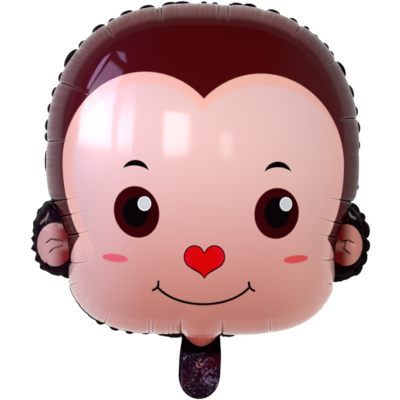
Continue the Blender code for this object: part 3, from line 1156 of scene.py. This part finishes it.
def ear_finish(name, centre, halves, shade_span, colours):
    """An ear: dark film with a pink oval, which painted shade deepens to red across it towards the head,
    whose dark side it mirrors, least along its middle.

    The coat is strongest on the oval and above it, and weak elsewhere.
    """
    material, shader, place = new_finish(name)
    x, y = mapped(place, "print")
    oval = filled(ellipse(x, y, centre, halves))
    middle = abs(y - centre[1] - EAR_PALE_BELOW).eased(*EAR_PALE_HEIGHTS)
    # Painted shade deepens the pink to red towards the head
    deep = x.eased(*shade_span) * (1 - middle * EAR_PALE_SHARE)
    coat = oval.most(y.eased(*EAR_COAT_ABOVE) * EAR_BLACK_COAT_SHARE) * EAR_COAT + EAR_LEAST_COAT
    black, pink, red = colours
    colour = oval.tint(black, deep.tint(pink, red))
    finish = film_finish(place, colour, coat, film_bump(place, 160.0, 0.0001), ridge_highlight=0.3, shade=EAR_SHADE)
    feed(shader, finish | {"Metallic": 0.0})
    return material


def tail_finish():
    """The filling tail: slack dark film, crumpled all over.

    Its small facets are the cells of a warped Voronoi pattern. Some cells are bright with painted glints,
    most
    of them in two crumpled patches: rose in the upper one and lilac in the lower one. A streak of painted
    highlight runs inside the left margin. The top is painted black as the chin's shadow, and the narrow left
    margin is black too.
    """
    material, shader, place = new_finish("tail_film")
    x, y = place.part(0), place.part(1)
    noise = place.noise(45.0, 3.0)
    warp = place.noise(150.0, 1.0, output=1)
    shift = warp.node("ShaderNodeVectorMath", {"operation": "SCALE"}, {0: warp, "Scale": CELL_WARP})
    spot = place.node("ShaderNodeVectorMath", {"operation": "ADD"}, {0: place, 1: shift})
    cells = spot.node("ShaderNodeTexVoronoi", {}, {"Vector": spot, "Scale": CELL_SCALE}, output=1)
    chance = cells.node("ShaderNodeSeparateColor", {}, {0: cells})
    upper = ellipse(x, y, *ROSE_GLINT_PATCH).eased(*ROSE_FADE)
    lower = ellipse(x, y, *LILAC_GLINT_PATCH).eased(*LILAC_FADE)
    # Painted shadow at the top, and the black left margin, lie outside this lit part
    lit = (y + noise * TAIL_LIT_UNEVENNESS).eased(*TAIL_LIT_BELOW) * x.eased(*TAIL_LIT_FROM_LEFT)
    colour = noise.eased(0.42, 0.60).tint(TAIL_PURPLE, TAIL_WINE)
    # Painted glints on some facets, most of them in the two patches
    bright = chance.eased(*CELL_CHANCE) * (upper.most(lower) * (1 - CELLS_ELSEWHERE) + CELLS_ELSEWHERE)
    colour = bright.tint(colour, upper.tint(TAIL_LILAC_GLINT, TAIL_ROSE_GLINT))
    # Painted highlight streak inside the left margin
    streak = abs(x - STREAK_PLACE).eased(*STREAK_WIDTH) * y.eased(*STREAK_BELOW) * noise.eased(0.3, 0.6) * 0.5
    feed(shader, FOIL | {
        "Base Color": lit.tint(TAIL_SHADOW_AND_MARGIN_BLACK, streak.tint(colour, TAIL_LILAC_GLINT)),
        "Metallic": 0.2,
        "Coat Weight": lit,
        "Coat Roughness": 0.05,
        "Normal": film_bump(place, 220.0, 0.0003),
    })
    return material


def fold_depths(units, folds):
    """Depth of straight folds at points given in print units, and how much each point lies in a crease.

    A fold is a groove with flat sides: its depth falls evenly to 0 at its half width, and follows a half
    sine along it. The crease is a bell curve across it, below zero on a ridge.
    """
    depth = np.zeros(units.shape[:-1])
    crease = np.zeros(units.shape[:-1])
    for start, end, deep, half_width in folds:
        start, run = np.array(start), np.array(end) - np.array(start)
        along = np.clip((units - start) @ run / (run @ run), 0.0, 1.0)
        gap = np.linalg.norm(units - start - along[..., None] * run, axis=-1) * UNIT * MILLIMETRES
        swell = np.sin(math.pi * (FOLD_END + (1 - 2 * FOLD_END) * along))
        depth += deep / MILLIMETRES * np.clip(1 - gap / half_width, 0.0, 1.0) * swell
        bell = np.exp(-(gap / (MILLIMETRES * CREASE_WIDTH)) ** 2)
        crease += np.sign(deep) * FOLD_DARKNESS * bell * swell
    return depth, np.clip(crease, -1.0, 1.0)


def head_film(outline, run, pleats, wrinkles):
    """The head's two films as one closed shell; returns the mesh's rim as well."""
    places = crowded_places(run[-1], pleats[:, 0])
    normals = at_run(curve_normals(outline, run, RIM_SMOOTHING), run, places)
    angles = bearings(at_run(outline, run, places))
    films, prints, creases, distances = [], [], [], []
    for side, centre_rings, rim_rings in ((1, FRONT_CENTRE_RINGS, FRONT_RIM_RINGS),
                                          (-1, BACK_CENTRE_RINGS, BACK_RIM_RINGS)):
        grid = smooth_film(ring_shares(centre_rings, rim_rings), angles, side)
        prints.append(print_units(grid))
        distances.append(rim_distance(grid))
        inward = -side * surface_normals(grid)
        inward[-1] = np.column_stack([-normals, np.zeros(COLUMNS)])
        depth, crease = pleat_depths(distances[-1], places, run[-1], pleats, wrinkles)
        grid = grid + inward * depth[..., None]
        grid[..., 2] = np.maximum(grid[..., 2], FLOOR_HEIGHT)
        films.append(grid)
        creases.append(crease)
    ends = np.array([[*HEAD_CENTRE, SEAM_HEIGHT + HEAD_DEPTH / 2], [*HEAD_CENTRE, FLOOR_HEIGHT]])
    mesh = film_shell("head_film", films, prints, creases, ends)
    mark_rim(mesh, places, run[-1], distances)
    front, back = films
    first_back = (len(front) - 1) * COLUMNS
    quads = first_back + (len(back) - 1) * COLUMNS
    index = np.zeros(len(mesh.polygons), dtype=np.int32)
    index[first_back:quads] = 1
    index[quads + COLUMNS:] = 1
    mesh.polygons.foreach_set("material_index", index)
    return mesh, front[-1, :, :2], places


def seam_strip(name, rim, normals, reach):
    """A strip of the seam's free edge along points of the rim.

    Its outer line stands out from the film by reach, and what is left of its width turns back, away
    from the face. Each section is a thin flat loop from the root to the outer line and back.
    """
    drop = np.sqrt(np.maximum(SEAM_WIDTH ** 2 - reach ** 2, 0.0))
    out = -SEAM_ROOT + STRIP_SHARES ** STRIP_OUT_POWER * (reach + SEAM_ROOT)[:, None]
    level = -drop[:, None] * STRIP_SHARES ** STRIP_DOWN_POWER
    plan = rim[:, None, :] + normals[:, None, :] * out[..., None]
    top = np.concatenate([plan, SEAM_HEIGHT + SEAM_THICKNESS / 2 + level[..., None]], axis=2)
    under = top[:, ::-1] - np.array([0.0, 0.0, SEAM_THICKNESS])
    return tube_mesh(name, np.concatenate([top, under], axis=1)[:, ::-1])


def scallop_reach(outline, run, places, table, base, sharp):
    """How far the free edge stands out: half ovals, or teeth where sharp, at the scallops' places."""
    feet = nearest_run(outline, run, seam_place(np.array(table)[:, :2]))
    reach = np.full(len(places), base)
    for foot, (_, _, half, high) in zip(feet, table):
        gap = np.abs(wrapped(places - foot, run[-1])) / (half * UNIT)
        arch = np.clip(1 - gap, 0.0, 1.0) if sharp else np.sqrt(np.clip(1 - gap ** 2, 0.0, 1.0))
        reach = np.maximum(reach, base + arch * (high * UNIT - base))
    return reach


def head_seam(name, outline, run, rim, rim_places, start, end, table, base):
    """The free edge along one stretch of the head's seam, from one place on the print to another."""
    first, last = nearest_run(outline, run, seam_place(np.array([start, end])))
    stretch = np.mod(last - first, run[-1])
    places = first + np.linspace(0.0, stretch, int(stretch / SEAM_STEP))
    path = at_run(rim, np.append(rim_places, run[-1]), places)
    normals = at_run(curve_normals(outline, run, HEAD_SEAM_SMOOTHING), run, places)
    return seam_strip(name, path, normals, scallop_reach(outline, run, places, table, base, False))


def ear_seam(name, outline, run, table, sharp):
    """The free edge around an ear, with teeth or with round scallops."""
    places = np.linspace(0.0, run[-1], int(run[-1] / SEAM_STEP))
    path = at_run(outline, run, places) + HEAD_CENTRE
    normals = at_run(curve_normals(outline, run, EAR_SEAM_SMOOTHING), run, places)
    return seam_strip(name, path, normals, scallop_reach(outline, run, places, table, EAR_SEAM_REACH, sharp))


def ear_outline(centre):
    """An ear's outline in the seam plane: a superellipse around its centre, drawn in at its crimps."""
    turn = np.linspace(0.0, 2 * math.pi, CURVE_SAMPLES, endpoint=False)
    x = EAR_HALF_WIDTH * signed_power(np.cos(turn), 2 / EAR_SQUARENESS)
    y = EAR_HALF_LENGTH * signed_power(np.sin(turn), 2 / EAR_SQUARENESS)
    crimp = EAR_CRIMP_DEPTH * (1 - np.abs(np.sin(turn * EAR_CRIMPS / 2)))
    shape = np.stack([x, y], axis=1)
    return shape * (1 - crimp / np.linalg.norm(shape, axis=1))[:, None] + centre


def ear_film(name, outline, run, folds):
    """One ear as a closed shell: rings of its outline, raised as an inflated film, with its folds."""
    middle = outline.mean(axis=0)
    places = np.linspace(0.0, run[-1], EAR_COLUMNS, endpoint=False)
    rim = at_run(outline, run, places) - middle
    shares = ring_shares(EAR_CENTRE_RINGS, EAR_RIM_RINGS)
    plan = HEAD_CENTRE + middle + shares[:, None, None] * rim[None]
    films, prints, creases, ends = [], [], [], []
    for side in (1, -1):
        height = side * EAR_DEPTH / 2 * film_profile(shares)
        level = np.broadcast_to(SEAM_HEIGHT + height[:, None, None], plan.shape[:2] + (1,))
        grid = np.concatenate([plan, level], axis=2)
        units = print_units(grid)
        inward = -side * surface_normals(grid)
        inward[-1] = 0.0
        depth, crease = fold_depths(units, folds)
        films.append(grid + inward * depth[..., None])
        prints.append(units)
        creases.append(crease)
        ends.append([*(HEAD_CENTRE + middle), SEAM_HEIGHT + side * EAR_DEPTH / 2])
    return film_shell(name, films, prints, creases, np.array(ends))


def tail_folds():
    """Folds in seeded places and directions over the tail's part of the print, half of them ridges."""
    start = TAIL_FOLD_CORNER + rng.uniform(0.0, 1.0, (TAIL_FOLDS, 2)) * TAIL_FOLD_SPAN
    turn = rng.uniform(0.0, math.pi, TAIL_FOLDS)
    size = rng.uniform(*TAIL_FOLD_LENGTH, TAIL_FOLDS) / UNIT
    end = start + np.stack([np.cos(turn), np.sin(turn)], axis=1) * size[:, None]
    half_width = rng.uniform(*TAIL_FOLD_WIDTH, TAIL_FOLDS) * MILLIMETRES
    deep = half_width * rng.uniform(*TAIL_FOLD_SLOPE, TAIL_FOLDS) * rng.choice([-1.0, 1.0], TAIL_FOLDS)
    return list(zip(start, end, deep, half_width))


def tail_film():
    """The filling tail: two slack films with flat welded margins, crumpled, and round at the tip.

    Its width eases out from the top, and from the round share on it is the root of 1 less a power.
    """
    along = np.linspace(0.0, 1.0, TAIL_ROWS)
    y = TAIL_TOP + (TAIL_TIP - TAIL_TOP) * np.sin(along * math.pi / 2)
    share = (TAIL_TOP - y) / (TAIL_TOP - TAIL_TIP)
    half = TAIL_TOP_HALF_WIDTH + (TAIL_HALF_WIDTH - TAIL_TOP_HALF_WIDTH) * ease(share / TAIL_WIDEST_SHARE)
    rounded = np.clip((share - TAIL_ROUND_SHARE) / (1 - TAIL_ROUND_SHARE), 0.0, 1.0) ** TAIL_ROUND_POWER
    half = (half * np.sqrt(np.clip(1 - rounded, TAIL_LEAST_WIDTH, 1.0)))[:, None]
    across = np.sin(np.linspace(-1.0, 1.0, TAIL_COLUMNS) * math.pi / 2)
    x = TAIL_LEAN * ease(share / TAIL_LEAN_SHARE)[:, None] + half * across
    plan = np.stack([x, np.broadcast_to(y[:, None], x.shape)], axis=2)
    gap = np.minimum(half * (1 - np.abs(across)), (y - TAIL_TIP)[:, None])
    swell = ease(gap / TAIL_MARGIN - TAIL_FLAT_MARGIN)
    units = print_units(np.concatenate([plan, np.full(x.shape + (1,), SEAM_HEIGHT)], axis=2))
    relief = fold_depths(units, tail_folds())[0] * swell
    lift = SEAM_THICKNESS / 2 + TAIL_HALF_THICKNESS * swell
    upper = np.concatenate([plan, (SEAM_HEIGHT + lift + relief)[..., None]], axis=2)
    lower = np.concatenate([plan, (SEAM_HEIGHT - lift + relief * TAIL_BACK_RELIEF)[..., None]], axis=2)
    return tube_mesh("filling_tail", np.concatenate([upper, lower[:, ::-1]], axis=1))


def build_balloon():
    """All pieces of the balloon."""
    run = run_along(drawn_outline)
    pleats, wrinkles = pleat_marks(drawn_outline, run)
    seam = seam_finish()
    mesh, rim, places = head_film(drawn_outline, run, pleats, wrinkles)
    add_piece(mesh, [printed_face(), back_film()])
    for name, *stretch in HEAD_SEAMS:
        add_piece(head_seam(name, drawn_outline, run, rim, places, *stretch), [seam])
    for name, centre, folds, scallops, sharp, drawing in EARS:
        outline = ear_outline(centre)
        run = run_along(outline)
        add_piece(ear_film(name, outline, run, folds), [ear_finish(name + "_film", *drawing)])
        add_piece(ear_seam(name + "_seam", outline, run, scallops, sharp), [seam])
    add_piece(tail_film(), [tail_finish()])


def add_floor():
    """Plain pale floor that the balloon lies on, glowing evenly around it and greyer far away."""
    corners = [(x * FLOOR_HALF, y * FLOOR_HALF, 0.0) for x, y in ((-1, -1), (1, -1), (1, 1), (-1, 1))]
    mesh = bpy.data.meshes.new("floor")
    mesh.from_pydata(corners, [], [(0, 1, 2, 3)])
    material, shader, place = new_finish("floor")
    away = place.node("ShaderNodeVectorMath", {"operation": "LENGTH"}, {0: place}, output=1)
    glow = away.eased(*FLOOR_GLOW_REACH).tint(FLOOR_GLOW, FLOOR_FAR_GLOW)
    paint = {"Base Color": FLOOR_GREY, "Roughness": 0.9, "Specular IOR Level": 0.0}
    feed(shader, paint | {"Emission Color": glow, "Emission Strength": 1.0})
    mesh.materials.append(material)
    floor = add_object("floor", mesh)


def add_fill():
    """The wide soft light above, a little towards the upper left."""
    light = bpy.data.lights.new("fill", "AREA")
    light.shape = "SQUARE"
    light.size = FILL_SIZE
    light.color = FILL_COLOUR
    light.energy = FILL_BRIGHTNESS * FILL_SIZE ** 2 * math.pi
    lamp = add_object("fill", light)
    flat = math.sin(FILL_TILT) * PANE_DISTANCE
    lamp.location = (
        HEAD_CENTRE[0] + flat * math.cos(FILL_BEARING),
        HEAD_CENTRE[1] + flat * math.sin(FILL_BEARING),
        SEAM_HEIGHT + PANE_DISTANCE * math.cos(FILL_TILT),
    )
    lamp.rotation_euler = (0.0, FILL_TILT, FILL_BEARING)
    lamp.visible_glossy = False


def pane_mesh(name, rows):
    """A strip of quads whose corners stand where the film mirrors them, with shares across and up it."""
    rays = [mirrored(unit) for row in rows for unit in row]
    points = [(spot + direction * PANE_DISTANCE).tolist() for spot, direction in rays]
    faces = [(2 * row, 2 * row + 1, 2 * row + 3, 2 * row + 2) for row in range(len(rows) - 1)]
    mesh = bpy.data.meshes.new(name)
    mesh.from_pydata(points, [], faces)
    across = np.tile([0.0, 1.0], len(rows))
    up = np.repeat(np.linspace(1.0, 0.0, len(rows)), 2)
    layer = mesh.uv_layers.new(name="pane")
    layer.data.foreach_set("uv", np.stack([across, up], axis=1)[np.array(faces).ravel()].ravel())
    return mesh


def add_pane(name, rows, brightness, fade, top_share, lilac_from):
    """A glowing window pane that only the film mirrors, dimmer at its rim and lilac towards its top."""
    mesh = pane_mesh(name, rows)
    material, shader, place = new_finish(name)
    across, up = mapped(place, "pane")
    glow = across.eased(0.0, fade) * across.eased(1.0, 1 - fade)
    glow = glow * up.eased(0.0, fade) * up.eased(1.0, 1 - fade)
    top = tuple(channel * top_share for channel in PANE_LILAC[:3]) + (1.0,)
    colour = up.eased(lilac_from, lilac_from + LILAC_BLEND).tint(PANE_WHITE, top)
    feed(shader, {
        "Base Color": PANE_DARK,
        "Specular IOR Level": 0.0,
        "Emission Color": glow.tint(PANE_DARK, colour),
        "Emission Strength": brightness,
    })
    mesh.materials.append(material)
    pane = add_object(name, mesh)
    pane.visible_camera = False
    pane.visible_diffuse = False
    pane.visible_shadow = False


def add_surround():
    """A pale room that lights the film softly from all sides, and is dim where the film mirrors it."""
    world = bpy.data.worlds.new("surround")
    world.use_nodes = True
    ray = Wire(world.node_tree.nodes.new("ShaderNodeLightPath").outputs["Is Glossy Ray"])
    seen = ray.node("ShaderNodeLightPath", {}, {})
    colour = ray.tint(seen.tint(ROOM_GREY, ROOM_WHITE), ROOM_DIM)
    feed(world.node_tree.nodes["Background"], {"Color": colour})
    bpy.context.scene.world = world


def add_camera():
    """The camera looks straight down, and the view spans the print's whole square at the seam."""
    lens = bpy.data.cameras.new("camera")
    lens.lens = lens.sensor_width * VIEW_DISTANCE / (PRINT_WIDTH * UNIT)
    camera = add_object("camera", lens)
    camera.location = (*PRINT_ORIGIN, SEAM_HEIGHT + VIEW_DISTANCE)
    camera.rotation_euler = (0.0, 0.0, PRINT_ROLL)
    bpy.context.scene.camera = camera
    bpy.context.scene.view_settings.view_transform = "Standard"


build_balloon()
add_floor()
add_fill()
for pane in PANES:
    add_pane(*pane)
add_surround()
add_camera()
